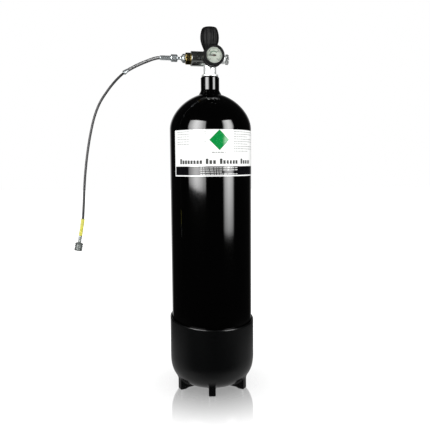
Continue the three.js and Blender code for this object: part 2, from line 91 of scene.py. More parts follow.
def ramp(nodes, links, source, stops):
    """Colours at places from 0 to 1, read by the source."""
    node = nodes.new("ShaderNodeValToRGB")
    elements = node.color_ramp.elements
    while len(elements) < len(stops):
        elements.new(0.5)
    for element, (place, colour) in zip(elements, stops):
        element.position = place
        element.color = (*colour, 1.0)
    links.new(source, node.inputs["Fac"])
    return node.outputs["Color"]


def noise_value(nodes, links, scale, detail=4.0, stretch=(1.0, 1.0, 1.0)):
    """Noise in the piece's own metres; scale is cycles per metre."""
    coordinates = nodes.new("ShaderNodeTexCoord")
    mapping = nodes.new("ShaderNodeMapping")
    mapping.inputs["Scale"].default_value = stretch
    texture = nodes.new("ShaderNodeTexNoise")
    texture.inputs["Scale"].default_value = scale
    texture.inputs["Detail"].default_value = detail
    links.new(coordinates.outputs["Object"], mapping.inputs["Vector"])
    links.new(mapping.outputs["Vector"], texture.inputs["Vector"])
    return texture.outputs["Fac"]


def bump(nodes, links, height, shader, distance, under=None):
    """Relief from a height socket; under is the normal of the relief beneath it."""
    node = nodes.new("ShaderNodeBump")
    node.inputs["Distance"].default_value = distance
    links.new(height, node.inputs["Height"])
    if under is not None:
        links.new(under, node.inputs["Normal"])
    links.new(node.outputs["Normal"], shader.inputs["Normal"])
    return node.outputs["Normal"]


def tinted(nodes, links, shader, grain, colours, rough):
    """Runs a see-through material's colour and roughness by one noise, and returns the noise."""
    value = noise_value(nodes, links, grain[0], stretch=(1.0, 1.0, grain[1]))
    links.new(ramp(nodes, links, value, colours), shader.inputs["Base Color"])
    stops = [(0.3, (rough[0],) * 3), (0.7, (rough[1],) * 3)]
    links.new(ramp(nodes, links, value, stops), shader.inputs["Roughness"])
    return value


def finish_material(
    name, low, high, rough, grain, metallic=0.0, bump_mm=0.01, specular=0.5,
    fine=None, fine_mm=0.004, wave=None, wave_mm=0.02,
):
    """A surface whose colour runs from low to high and whose roughness runs over rough, both by noise.

    grain is the noise's cycles per metre and bump_mm its depth. fine is a second, finer grain and wave a
    broad unevenness, each with its own depth."""
    material, nodes, links = new_material(name)
    shader = nodes["Principled BSDF"]
    shader.inputs["Metallic"].default_value = metallic
    shader.inputs["Specular IOR Level"].default_value = specular
    value = noise_value(nodes, links, grain)
    links.new(ramp(nodes, links, value, [(0.3, low), (0.7, high)]), shader.inputs["Base Color"])
    roughness = nodes.new("ShaderNodeMapRange")
    roughness.inputs["From Min"].default_value = 0.3
    roughness.inputs["From Max"].default_value = 0.7
    roughness.inputs["To Min"].default_value = rough[0]
    roughness.inputs["To Max"].default_value = rough[1]
    links.new(noise_value(nodes, links, grain * 1.7), roughness.inputs["Value"])
    links.new(roughness.outputs["Result"], shader.inputs["Roughness"])
    under = bump(nodes, links, value, shader, bump_mm * MM)
    for cycles, depth in ((fine, fine_mm), (wave, wave_mm)):
        if cycles is not None:
            height = noise_value(nodes, links, cycles, detail=2.0)
            under = bump(nodes, links, height, shader, depth * MM, under)
    return material


# ---------------------------------------------------------------- materials
BLACK_PAINT = finish_material(
    "black_paint", (0.0001, 0.0001, 0.00011), (0.0002, 0.0002, 0.00022), (0.05, 0.08), 260.0,
    bump_mm=0.01, wave=14.0, wave_mm=0.08)
BOOT_RUBBER = finish_material(
    "boot_rubber", (0.0005, 0.0007, 0.0008), (0.001, 0.0013, 0.0014), (0.2, 0.25), 900.0,
    bump_mm=0.004, fine=4000.0, fine_mm=0.002, specular=0.4)
BLACK_RUBBER = finish_material(
    "black_rubber", (0.0018, 0.0018, 0.002), (0.0034, 0.0034, 0.0036), (0.42, 0.58), 1500.0,
    bump_mm=0.015, fine=6000.0, fine_mm=0.006, specular=0.12)
CHROME = finish_material(
    "chrome", (0.66, 0.68, 0.67), (0.76, 0.78, 0.77), (0.14, 0.22), 300.0, metallic=0.85, bump_mm=0.002)
SATIN_CHROME = finish_material(
    "satin_chrome", (0.84, 0.86, 0.85), (0.92, 0.94, 0.93), (0.36, 0.44), 300.0,
    metallic=0.7, bump_mm=0.002)
NICKEL = finish_material(
    "nickel", (0.46, 0.5, 0.51), (0.6, 0.64, 0.65), (0.2, 0.32), 700.0, metallic=0.85, bump_mm=0.003)
DARK_CHROME = finish_material(
    "dark_chrome", (0.4, 0.42, 0.4), (0.52, 0.54, 0.51), (0.16, 0.24), 500.0, metallic=1.0, bump_mm=0.002)
BRASS = finish_material(
    "brass", (0.2, 0.15, 0.05), (0.32, 0.24, 0.09), (0.16, 0.28), 400.0, metallic=1.0, bump_mm=0.003)
STEEL = finish_material(
    "steel", (0.24, 0.25, 0.26), (0.36, 0.37, 0.38), (0.28, 0.42), 800.0, metallic=1.0, bump_mm=0.004)
SPRING_STEEL = finish_material(
    "spring_steel", (0.1, 0.1, 0.1), (0.17, 0.17, 0.17), (0.42, 0.52), 800.0, metallic=1.0, bump_mm=0.004)
DULL_NICKEL = finish_material(
    "dull_nickel", (0.2, 0.22, 0.21), (0.3, 0.32, 0.31), (0.34, 0.44), 700.0, metallic=0.9, bump_mm=0.004)
HOSE_BLACK = finish_material(
    "hose_black", (0.003, 0.003, 0.004), (0.006, 0.006, 0.007), (0.36, 0.46), 2200.0,
    bump_mm=0.006, specular=0.45)
LABEL_FILM = finish_material(
    "label_film", (0.93, 0.94, 0.93), (0.97, 0.98, 0.97), (0.06, 0.1), 260.0, bump_mm=0.006, specular=0.4)


def printed(name, low, high, specular=0.4):
    """A printed ink; the usual one is as glossy as the film that it is printed on."""
    return finish_material(name, low, high, (0.06, 0.1), 260.0, bump_mm=0.006, specular=specular)


INK_BLACK = printed("ink_black", (0.002, 0.002, 0.003), (0.005, 0.005, 0.006))
INK_TITLE = printed("ink_title", (0.05, 0.052, 0.05), (0.08, 0.082, 0.08), specular=0.02)
INK_GREEN = printed("ink_green", (0.003, 0.23, 0.045), (0.006, 0.29, 0.06))
INK_GREY = printed("ink_grey", (0.34, 0.35, 0.34), (0.46, 0.47, 0.46))


def matt_paint(name, low, high, rough=(0.5, 0.6)):
    """The matt paint of the dial and its pointer."""
    return finish_material(name, low, high, rough, 900.0, specular=0.1)


DIAL_WHITE = matt_paint("dial_white", (0.86, 0.9, 0.8), (0.92, 0.96, 0.87))
DIAL_BLACK = matt_paint("dial_black", (0.012, 0.012, 0.01), (0.02, 0.02, 0.018))
DIAL_GREEN = matt_paint("dial_green", (0.02, 0.16, 0.08), (0.03, 0.2, 0.1))
POINTER_BLACK = matt_paint("pointer_black", (0.006, 0.005, 0.004), (0.012, 0.01, 0.008), (0.4, 0.5))
COPPER_BROWN = finish_material(
    "copper_brown", (0.2, 0.12, 0.09), (0.28, 0.17, 0.13), (0.3, 0.4), 900.0, metallic=0.6)
NYLON = finish_material("nylon", (0.7, 0.68, 0.62), (0.76, 0.74, 0.68), (0.4, 0.5), 900.0)


# ---------------------------------------------------------------- mesh helpers
def rounded(corners, closed=True, steps=5):
    """The outline through (r, z) or (r, z, fillet) corners, with each fillet turned into a small arc."""
    count = len(corners)
    points = []
    for i, corner in enumerate(corners):
        here = Vector(corner[:2])
        fillet = corner[2] if len(corner) > 2 else 0.0
        if fillet == 0 or (not closed and i in (0, count - 1)):
            points.append(tuple(here))
            continue
        before = Vector(corners[i - 1][:2]) - here
        after = Vector(corners[(i + 1) % count][:2]) - here
        half = before.angle(after) / 2
        reach = min(fillet / math.tan(half), 0.49 * before.length, 0.49 * after.length)
        first, last = here + before.normalized() * reach, here + after.normalized() * reach
        for k in range(steps + 1):
            t = k / steps
            points.append(tuple(first * (1 - t) ** 2 + here * 2 * t * (1 - t) + last * t ** 2))
    return points


def fine_outline(points, longest, closed=True):
    """The same outline with no edge longer than longest."""
    ends = points[1:] + points[:1] if closed else points[1:]
    result = []
    for (r0, z0), (r1, z1) in zip(points, ends):
        parts = max(1, math.ceil(math.hypot(r1 - r0, z1 - z0) / longest))
        result += [(r0 + (r1 - r0) * k / parts, z0 + (z1 - z0) * k / parts) for k in range(parts)]
    return result if closed else result + [points[-1]]


def revolve(points, closed=True, sides=96, reshape=None):
    """Turns an outline about Z. reshape(angle, r, z) may change r, for flats, flutes and knurls."""
    angles = [2 * math.pi * j / sides for j in range(sides)]
    vertices, rings = [], []
    for r, z in points:
        if r < 1e-6:
            rings.append([len(vertices)] * sides)
            vertices.append((0.0, 0.0, z))
            continue
        rings.append(list(range(len(vertices), len(vertices) + sides)))
        for angle in angles:
            radius = reshape(angle, r, z) if reshape else r
            vertices.append((radius * math.cos(angle), radius * math.sin(angle), z))
    pairs = list(zip(rings, rings[1:] + rings[:1] if closed else rings[1:]))
    faces = []
    for low, high in pairs:
        for j in range(sides):
            k = (j + 1) % sides
            corners = [low[j], low[k], high[k], high[j]]
            face = [c for i, c in enumerate(corners) if c != corners[i - 1]]
            if len(face) > 2:
                faces.append(face)
    return vertices, faces


def add_mesh(name, vertices, faces, matrix, material, sharp_deg=35.0):
    """A smooth-shaded mesh from millimetres in a local frame, with its faces turned outwards."""
    mesh = bpy.data.meshes.new(name)
    mesh.from_pydata([Vector(v) * MM for v in vertices], [], faces)
    mesh.transform(matrix)
    if signed_volume(mesh) < 0:
        mesh.flip_normals()
    mesh.shade_smooth()
    mesh.set_sharp_from_angle(angle=math.radians(sharp_deg))
    mesh.materials.append(material)
    obj = bpy.data.objects.new(name, mesh)
    bpy.context.scene.collection.objects.link(obj)
    return obj


def signed_volume(mesh):
    mesh.calc_loop_triangles()
    place = [v.co for v in mesh.vertices]
    corners = (triangle.vertices for triangle in mesh.loop_triangles)
    return sum(place[a].dot(place[b].cross(place[c])) for a, b, c in corners)


def turned(
    name, corners, matrix, material, closed=True, sides=96, reshape=None, longest=None, sharp_deg=35.0,
):
    """A lathe piece from its corners."""
    outline = rounded(corners, closed)
    if longest:
        outline = fine_outline(outline, longest, closed)
    vertices, faces = revolve(outline, closed, sides, reshape)
    return add_mesh(name, vertices, faces, matrix, material, sharp_deg)


def belongs(obj, body, slot, *nodes):
    """The piece moves with the body and stands for the CAD nodes, which are hidden; slot is not used."""
    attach(obj, body)
    if nodes:
        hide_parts(*nodes)
    return obj


HEXAGON_EDGE = 0.25


def hexagon(flats):
    """A reshape that cuts six flats, with their edges softened a little."""
    def cut(angle, r, z):
        if r < flats / 2:
            return r
        flat = flats / 2 / math.cos(angle % (math.pi / 3) - math.pi / 6)
        return -HEXAGON_EDGE * math.log(math.exp(-r / HEXAGON_EDGE) + math.exp(-flat / HEXAGON_EDGE))
    return cut


# ---------------------------------------------------------------- hose
HOSE_R = 2.4
GUARD_START, GUARD_END = 14.7, 84.5
GUARD_COIL_R, GUARD_WIRE, GUARD_PITCH = 2.98, 1.0, 1.12
GUARD_CAP_LENGTH = 10.5
YELLOW_START, YELLOW_END = 412.4, 447.0
CRIMP_START = 447.4

# Distance from the cylinder's axis and height, in metres, in the valve's plane.
HOSE_ROUTE = [
    (-0.090, 0.6942), (-0.097, 0.6942), (-0.1043, 0.6941), (-0.112, 0.693), (-0.120, 0.6906),
    (-0.129, 0.687), (-0.145, 0.6802), (-0.160, 0.6726), (-0.174, 0.6643), (-0.1875, 0.6528),
    (-0.2005, 0.6387), (-0.213, 0.6224), (-0.2245, 0.605), (-0.233, 0.5873), (-0.2397, 0.5678),
    (-0.2448, 0.5478), (-0.2491, 0.5277), (-0.2527, 0.5078), (-0.2557, 0.4883), (-0.2582, 0.4692),
    (-0.2603, 0.450), (-0.262, 0.430), (-0.2635, 0.408), (-0.265, 0.387), (-0.2665, 0.3694),
    (-0.2687, 0.355), (-0.2713, 0.3404), (-0.2726, 0.3332), (-0.2741, 0.325),
]


def smooth_route(points, per_piece=24):
    """A centripetal Catmull-Rom curve through the points."""
    ends = [2 * points[0] - points[1], *points, 2 * points[-1] - points[-2]]
    line = []
    for p0, p1, p2, p3 in zip(ends, ends[1:], ends[2:], ends[3:]):
        t1 = (p1 - p0).length ** 0.5
        t2 = t1 + (p2 - p1).length ** 0.5
        t3 = t2 + (p3 - p2).length ** 0.5
        for k in range(per_piece):
            t = t1 + (t2 - t1) * k / per_piece
            a1 = p0.lerp(p1, t / t1)
            a2 = p1.lerp(p2, (t - t1) / (t2 - t1))
            a3 = p2.lerp(p3, (t - t2) / (t3 - t2))
            b1 = a1.lerp(a2, t / t2)
            b2 = a2.lerp(a3, (t - t1) / (t3 - t1))
            line.append(b1.lerp(b2, (t - t1) / (t2 - t1)))
    return line + [points[-1]]


class Route:
    """The hose's centreline, read by length along it in millimetres."""

    def __init__(self, points):
        curve = smooth_route([Vector(point) for point in points])
        line = np.array([VALVE @ Vector((place.x, 0.0, place.y)) / MM for place in curve])
        steps = np.linalg.norm(np.diff(line, axis=0), axis=1)
        self.line, self.along = line, np.concatenate([[0.0], np.cumsum(steps)])
        self.length = self.along[-1]

    def at(self, s):
        return Vector([np.interp(s, self.along, self.line[:, k]) for k in range(3)])

    def way(self, s):
        return (self.at(min(s + 1.0, self.length)) - self.at(max(s - 1.0, 0.0))).normalized()

    def frame(self, s):
        """A matrix in metres whose Z runs along the hose, away from the valve."""
        z = self.way(s)
        y = VALVE.to_3x3() @ Vector((0, 1, 0))
        x = y.cross(z)
        return Matrix.Translation(self.at(s) * MM) @ Matrix((x, y, z)).transposed().to_4x4()


route = Route(HOSE_ROUTE)


def sweep(name, start, end, step, outer, bore, material, sides=24):
    """A closed tube along the hose. outer(s) gives its outside radius; bore is its inside radius or 0."""
    count = max(2, round((end - start) / step))
    places = [start + (end - start) * k / count for k in range(count + 1)]
    rings = [(s, outer(s)) for s in places]
    if bore:
        rings += [(s, bore) for s in reversed(places)]
    else:
        rings = [(start, 0.0), *rings, (end, 0.0)]
    vertices, index = [], []
    for s, radius in rings:
        x, y, centre = (route.frame(s).col[k].to_3d() for k in (0, 1, 3))
        index.append([len(vertices) + j for j in range(sides)])
        for j in range(sides):
            angle = 2 * math.pi * j / sides
            spread = (x * math.cos(angle) + y * math.sin(angle)) * radius
            vertices.append(centre / MM + spread)
    faces = []
    for low, high in zip(index, index[1:] + index[:1] if bore else index[1:]):
        faces += [[low[j], low[(j + 1) % sides], high[(j + 1) % sides], high[j]] for j in range(sides)]
    obj = add_mesh(name, vertices, faces, UPRIGHT, material)
    weld(obj)
    return obj


def weld(obj, distance=1e-6):
    """Merges points that lie together, such as a tube's end centres."""
    work = bmesh.new()
    work.from_mesh(obj.data)
    bmesh.ops.remove_doubles(work, verts=work.verts, dist=distance)
    work.to_mesh(obj.data)
    work.free()


hose = sweep("hose_cover", 0.0, route.length, 2.0, lambda s: HOSE_R, 0.0, HOSE_BLACK)


def coil_spring(name, start, end, radius, wire, pitch, material, sides=8, per_turn=20):
    """A closely wound spring round the hose, with closed wire ends."""
    turns = (end - start - wire) / pitch
    count = round(turns * per_turn)
    line = []
    for k in range(count + 1):
        s = start + wire / 2 + (end - start - wire) * k / count
        grid = route.frame(s)
        angle = 2 * math.pi * turns * k / count
        x, y, centre = (grid.col[i].to_3d() for i in (0, 1, 3))
        line.append(centre / MM + (x * math.cos(angle) + y * math.sin(angle)) * radius)
    vertices, index = [], []
    for k, here in enumerate(line):
        way = (line[min(k + 1, count)] - line[max(k - 1, 0)]).normalized()
        s = start + wire / 2 + (end - start - wire) * k / count
        out = (here - route.at(s)).normalized()
        side = way.cross(out).normalized()
        out = side.cross(way)
        index.append([len(vertices) + j for j in range(sides)])
        for j in range(sides):
            angle = 2 * math.pi * j / sides
            vertices.append(here + (out * math.cos(angle) + side * math.sin(angle)) * wire / 2)
    faces = [[low[j], low[(j + 1) % sides], high[(j + 1) % sides], high[j]]
             for low, high in zip(index, index[1:]) for j in range(sides)]
    faces += [index[0][::-1], index[-1]]
    return add_mesh(name, vertices, faces, UPRIGHT, material)


guard = coil_spring(
    "guard_spring", GUARD_START, GUARD_END, GUARD_COIL_R, GUARD_WIRE, GUARD_PITCH, SPRING_STEEL)
guard_cap = turned(
    "guard_bell",
    [(2.6, -5.1, 0.1), (3.7, -5.1, 0.4), (3.85, -1.5, 1.5), (4.55, 3.2, 1.2), (4.55, 5.0, 0.3),
     (4.1, 5.1, 0.2), (2.6, 2.0, 0.5)],
    route.frame(GUARD_END + 0.3 + GUARD_CAP_LENGTH / 2), NICKEL, sides=64)


def yellow_sleeve_material():
    """Soft yellow plastic that lets some light through, drawn out along the hose."""
    material, nodes, links = new_material("yellow_sleeve")
    shader = nodes["Principled BSDF"]
    shader.inputs["Transmission Weight"].default_value = 0.25
    shader.inputs["IOR"].default_value = 1.46
    shader.inputs["Subsurface Weight"].default_value = 0.2
    shader.inputs["Subsurface Radius"].default_value = (0.002, 0.002, 0.0005)
    colours = [(0.35, (0.74, 0.7, 0.06)), (0.65, (0.88, 0.84, 0.16))]
    value = tinted(nodes, links, shader, (500.0, 0.3), colours, (0.25, 0.38))
    bump(nodes, links, value, shader, 0.05 * MM)
    return material


def sleeve_radius(s):
    """The sleeve is a little uneven along its length."""
    return 3.45 + 0.1 * math.sin(s * 0.45) * math.sin(s * 0.21)


sleeve = sweep(
    "identity_sleeve", YELLOW_START, YELLOW_END, 1.0, sleeve_radius, 2.55, yellow_sleeve_material())

CRIMP = route.frame(CRIMP_START)
crimp_corners = [
    (2.55, 0.0, 0.1), (3.1, 0.0, 0.3), (3.3, 1.4, 0.4), (3.3, 2.8, 0.3), (2.95, 3.2, 0.3), (2.95, 4.6, 0.3),
    (3.3, 5.0, 0.3), (3.3, 6.4, 0.3), (2.95, 6.8, 0.3), (2.95, 8.2, 0.3), (3.3, 8.6, 0.3), (3.3, 13.2, 0.4),
    (2.9, 14.0, 0.2), (2.4, 14.0, 0.1), (2.4, 18.0, 0.1), (4.0, 18.0, 0.2), (4.0, 20.0, 0.2),
    (1.8, 22.6, 0.2), (0.9, 22.6, 0.1), (0.9, 8.0), (2.55, 8.0),
]
end_crimp = turned("hose_end_crimp", crimp_corners, CRIMP, DULL_NICKEL, sides=64)

# The end nut's outside has three grooves, and its bore is threaded.
END_NUT_R, GROOVE_R = 8.3, 6.5
end_nut_corners = [(2.7, 14.4, 0.2), (5.2, 14.4, 0.4), (END_NUT_R, 16.2, 0.4)]
for groove in (19.0, 22.7, 26.4):
    end_nut_corners += [
        (END_NUT_R, groove - 0.9, 0.2), (GROOVE_R, groove - 0.6, 0.2),
        (GROOVE_R, groove + 0.6, 0.2), (END_NUT_R, groove + 0.9, 0.2)]
end_nut_corners += [(END_NUT_R, 29.2, 0.4), (7.0, 30.6, 0.3), (5.3, 30.6, 0.2)]
for step in range(8):
    z = 30.0 - 1.1 * step
    end_nut_corners += [(4.55, z, 0.12), (4.95, z - 0.55, 0.12)]
end_nut_corners += [(4.55, 20.6, 0.2), (4.55, 17.6, 0.2), (2.7, 17.6, 0.2)]
end_nut = turned(
    "end_swivel_nut", end_nut_corners, CRIMP, DULL_NICKEL, sides=180, reshape=hexagon(14.0), longest=0.8)

ferrule_corners = [
    (2.6, -89.6, 0.1), (2.6, -104.0, 0.3), (3.2, -104.3, 0.2), (4.2, -104.3, 0.3), (4.5, -103.0, 0.5),
    (4.75, -100.0, 1.0), (4.75, -83.4, 0.5), (4.1, -82.3, 0.3), (3.4, -82.2, 0.1), (3.4, -76.0, 0.2),
    (1.2, -76.0, 0.1), (1.2, -89.6, 0.1),
]
ferrule = turned("hose_ferrule_sleeve", ferrule_corners, CROSS, NICKEL, sides=80)

belongs(hose, "connector", "hose_black", "hose")
belongs(guard, "connector", "steel", "spring_guard")
belongs(guard_cap, "connector", "chrome", "guard_cap")
belongs(sleeve, "connector", "yellow_sleeve", "yellow_sleeve")
belongs(end_crimp, "connector", "steel", "end_crimp")
belongs(end_nut, "end_nut", "chrome", "end_nut")
belongs(ferrule, "connector", "chrome", "hose_ferrule")


# ---------------------------------------------------------------- surfaces from a distance formula
def rod_field(points, start, end, radius, edge):
    """Signed distance from a rod with rounded rims, in millimetres."""
    start, end = np.array(start, float), np.array(end, float)
    length = np.linalg.norm(end - start)
    way = (end - start) / length
    along = (points - start) @ way
    away = np.linalg.norm(points - start - along[:, None] * way, axis=1) - radius + edge
    over = np.abs(along - length / 2) - length / 2 + edge
    outside = np.hypot(np.maximum(away, 0), np.maximum(over, 0))
    return np.minimum(np.maximum(away, over), 0) + outside - edge


def soft_min(a, b, width):
    mix = np.clip(0.5 + 0.5 * (b - a) / width, 0, 1)
    return b * (1 - mix) + a * mix - width * mix * (1 - mix)


def soft_max(a, b, width):
    return -soft_min(-a, -b, width)


def surface_net(field, low, high, cell):
    """Quads round the cells of a grid that the field's zero passes through."""
    low = np.array(low, float)
    counts = np.ceil((np.array(high) - low) / cell).astype(int) + 1
    grid = np.stack(np.meshgrid(*(np.arange(n) for n in counts), indexing="ij"), -1).reshape(-1, 3)
    inside = (field(low + cell * grid) < 0).reshape(counts)
    n = counts - 1
    total = sum(
        inside[i:n[0] + i, j:n[1] + j, k:n[2] + k].astype(int)
        for i in (0, 1) for j in (0, 1) for k in (0, 1))
    mixed = (total > 0) & (total < 8)
    index = (np.cumsum(mixed.ravel()) - 1).reshape(mixed.shape)
    vertices = low + cell * (np.argwhere(mixed) + 0.5)
    faces = []
    for axis in range(3):
        u, v = (axis + 1) % 3, (axis + 2) % 3
        first, second = (np.take(inside, np.arange(counts[axis] - 1) + step, axis) for step in (0, 1))
        places = np.argwhere(first != second)
        quads = []
        for du, dv in ((1, 1), (0, 1), (0, 0), (1, 0)):
            cells = places.copy()
            cells[:, u] -= du
            cells[:, v] -= dv
            quads.append(index[tuple(cells.T)])
        quads = np.stack(quads, 1)
        turn = second[tuple(places.T)]
        quads[turn] = quads[turn][:, ::-1]
        faces.append(quads)
    return vertices, np.concatenate(faces)


def settle(vertices, field, rounds=3, step=0.02):
    """Moves each point onto the field's zero."""
    for _ in range(rounds):
        here = field(vertices)
        slope = np.stack([(field(vertices + step * np.eye(3)[k]) - here) / step for k in range(3)], 1)
        vertices = vertices - slope * (here / np.maximum((slope ** 2).sum(1), 0.2))[:, None]
    return vertices


def relax(vertices, faces, share=0.5):
    """Moves each point towards the middle of its neighbours."""
    total, count = np.zeros_like(vertices), np.zeros(len(vertices))
    for a in range(4):
        for b in (1, 3):
            np.add.at(total, faces[:, a], vertices[faces[:, (a + b) % 4]])
            np.add.at(count, faces[:, a], 1)
    return vertices * (1 - share) + share * total / count[:, None]


def moulded(name, field, low, high, cell, matrix, material, sharp_deg=180.0):
    """A mesh of the field's zero between the corners low and high."""
    vertices, faces = surface_net(field, low, high, cell)
    vertices = settle(vertices, field, rounds=2)
    for _ in range(3):
        vertices = settle(relax(vertices, faces), field, rounds=2)
    return add_mesh(name, vertices.tolist(), faces.tolist(), matrix, material, sharp_deg)


# ---------------------------------------------------------------- bottle
CYLINDER_R = 85.5
SHOULDER_Z = 550.0
NECK_TOP = 657.5


def quarter(radius, inner_radius, z, rise, power, steps):
    """A superellipse quarter from the wall to the smallest radius asked for."""
    last = math.acos((inner_radius / radius) ** (power / 2))
    turns = [last * k / steps for k in range(steps + 1)]
    return [(radius * math.cos(t) ** (2 / power), z + rise * math.sin(t) ** (2 / power)) for t in turns]


neck_corners = [
    (24, 624.6), (20.4, 627, 2), (19.3, 630.5, 4), (19.3, NECK_TOP - 2.2, 0.6), (17.5, NECK_TOP, 0.6),
    (14.9, NECK_TOP, 0.2), (14.9, NECK_TOP - 2.5, 0.2), (12.5, NECK_TOP - 2.5, 0.2), (12.5, 622),
]
bottle_outline = [
    *quarter(CYLINDER_R, 0.0, 80, -73, 2.6, 36)[::-1],
    *quarter(CYLINDER_R, 24, SHOULDER_Z, 75, 1.8, 48),
    *rounded(neck_corners, closed=False)[1:],
    *quarter(80.5, 16, SHOULDER_Z, 70, 1.8, 12)[::-1],
    *quarter(80.5, 0.0, 80, -66, 2.6, 12),
]
bottle = add_mesh(
    "painted_bottle", *revolve(fine_outline(bottle_outline, 12.0, closed=False), closed=False, sides=224),
    UPRIGHT, BLACK_PAINT)
belongs(bottle, "base", "black_paint", "cylinder")

# ---------------------------------------------------------------- boot
BOOT_R = 90.0
BOOT_INNER_R = 86.0
RIM_Z = 148.3
RIM_LEAN = (-0.047, 0.062)
LEAN_START_Z = 80
FOOT_WIDTH = 14.5
FOOT_R, FOOT_INNER_R = 80, 36
FOOT_ARCH = 2.2
BOOT_CELL = 1.3


def bowl_field(r, z, radius, top, depth, power):
    """About the distance outside a cup whose foot is a superellipse bowl."""
    drop = np.maximum(top - z, 0) / depth
    return ((r / radius) ** power + drop ** power) ** (1 / power) * radius - radius


def boot_field(points):
    """The cup with its leaning rim, and six webs with flat pads at their outer ends."""
    x, y, z = points.T
    r = np.hypot(x, y)
    lean = RIM_LEAN[0] * x + RIM_LEAN[1] * y
    level = z - np.maximum(0, (z - LEAN_START_Z) / (RIM_Z - LEAN_START_Z)) * lean
    outside = bowl_field(r, level, BOOT_R, 70, 69, 2.8)
    hollow = -bowl_field(r, level, BOOT_INNER_R, 80, 73.5, 2.6)
    cup = soft_max(soft_max(outside, hollow, 1.0), level - RIM_Z, 2.2)
    turn = (np.arctan2(y, x) + math.pi / 2 + math.pi / 6) % (math.pi / 3) - math.pi / 6
    out, side = r * np.cos(turn), r * np.sin(turn)
    sole = FOOT_ARCH - FOOT_ARCH * np.clip((out - 62) / 6, 0, 1)
    ends = soft_max(out - FOOT_R, FOOT_INNER_R - out, 1.0)
    web = soft_max(np.abs(side) - FOOT_WIDTH / 2, ends, 2.0)
    web = soft_max(web, sole - z, 1.2)
    web = np.maximum(web, -bowl_field(r, level, BOOT_INNER_R + 1, 80, 74.5, 2.6))
    return soft_min(cup, web, 3.5)


boot = moulded(
    "rubber_boot", boot_field, (-93, -93, -2), (93, 93, 158), BOOT_CELL, UPRIGHT, BOOT_RUBBER)
belongs(boot, "base", "boot_rubber", "boot")

# ---------------------------------------------------------------- label
LABEL_START, LABEL_END = math.radians(-56) * CYLINDER_R, math.radians(88) * CYLINDER_R
LABEL_LOW, LABEL_HIGH = 452.4, 544.5
PAPER_R = (85.52, 85.74)
INK_R = (85.70, 85.79)


def curved_slabs(name, patches, radii, material):
    """Thin closed slabs wrapped on the bottle. A patch is four corners in order round it, as (arc, z)
    with the arc measured from the front."""
    vertices, faces = [], []
    for corners in patches:
        a, b, c, d = (Vector(p) for p in corners)
        across = max(1, math.ceil(max((b - a).length, (c - d).length) / 3))
        up = max(1, math.ceil((d - a).length / 6))
        base = len(vertices)
        for radius in radii:
            for j in range(up + 1):
                for i in range(across + 1):
                    s, t = i / across, j / up
                    arc, z = a.lerp(b, s).lerp(d.lerp(c, s), t)
                    turn = arc / CYLINDER_R - math.pi / 2
                    vertices.append((radius * math.cos(turn), radius * math.sin(turn), z))
        row, layer = across + 1, (across + 1) * (up + 1)
        for j in range(up):
            for i in range(across):
                k = base + j * row + i
                faces.append([k, k + row, k + row + 1, k + 1])
                faces.append([k + layer, k + layer + 1, k + layer + row + 1, k + layer + row])
        rim = [base + i for i in range(across)] + [base + j * row + across for j in range(up)]
        rim += [base + up * row + i for i in range(across, 0, -1)]
        rim += [base + j * row for j in range(up, 0, -1)]
        faces += [[k, m, m + layer, k + layer] for k, m in zip(rim, rim[1:] + rim[:1])]
    return add_mesh(name, vertices, faces, UPRIGHT, material)


def bar(start, end, low, high):
    """The corners of an upright rectangle."""
    return [(start, low), (end, low), (end, high), (start, high)]


def text_rows(start, end, top, rows, pitch, height, seed):
    """Rows of plain word-long dashes that stand for small print."""
    bars = []
    for row in range(rows):
        z, at, k = top - row * pitch, start, 0
        last = end if row % 3 < 2 else start + 0.55 * (end - start)
        while at < last - 2:
            word = 3.0 + 5.0 * (math.sin(seed + 12.9 * row + 7.7 * k) * 0.5 + 0.5)
            bars.append(bar(at, min(at + word, last), z - height / 2, z + height / 2))
            at, k = at + word + 1.3, k + 1
    return bars


def title_blocks(words, low, x_height, cap_height):
    """Plain blocks, a taller one first in each word, that stand for a line of large print."""
    blocks = []
    for start, end in words:
        count = round((end - start) / 6.6)
        for k in range(count):
            at = start + (end - start) * k / count
            blocks.append(bar(at, at + 5.0, low, low + (x_height if k else cap_height)))
    return blocks


def diamond(arc, z, half):
    """The corners of a square standing on one corner."""
    return [(arc - half, z), (arc, z - half), (arc + half, z), (arc, z + half)]


BORDER = 2.4
BAND_TOP = 472.2
PRINT_TOP = 540.5
TITLE_WORDS = [(-67, -15), (-9, 13), (19, 60), (67, 103)]
TITLE_LOW = 477.0

paper = curved_slabs(
    "label_paper", [bar(LABEL_START, LABEL_END, LABEL_LOW, LABEL_HIGH)], PAPER_R, LABEL_FILM)
band_patch = bar(LABEL_START + BORDER, LABEL_END - BORDER, LABEL_LOW + BORDER, BAND_TOP)
band = curved_slabs("label_band", [band_patch], INK_R, INK_BLACK)
print_rows = [
    *text_rows(-75, -8, PRINT_TOP, 6, 4.9, 1.1, 1.0),
    *text_rows(49, 126, PRINT_TOP, 9, 4.8, 1.3, 2.0),
    *text_rows(3, 33, 499.5, 1, 5, 2.2, 3.0),
]
small_print = curved_slabs("label_small_print", print_rows, INK_R, INK_GREY)
title = curved_slabs("label_title", title_blocks(TITLE_WORDS, TITLE_LOW, 7.2, 10.2), INK_R, INK_TITLE)
band_print = curved_slabs(
    "label_band_print", text_rows(-20, 58, 469.2, 4, 4.1, 1.1, 4.0), [r + 0.05 for r in INK_R], LABEL_FILM)
green = curved_slabs("label_green_diamond", [diamond(18.5, 524.0, 20.2)], INK_R, INK_GREEN)
for piece in (paper, band, small_print, title, band_print, green):
    belongs(piece, "base", "label_film")
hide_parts("label")

# ---------------------------------------------------------------- valve body
STEM_R = 13.2
FLANGE_R = 17.4
BODY_R = 13.5
BODY_CELL = 0.55


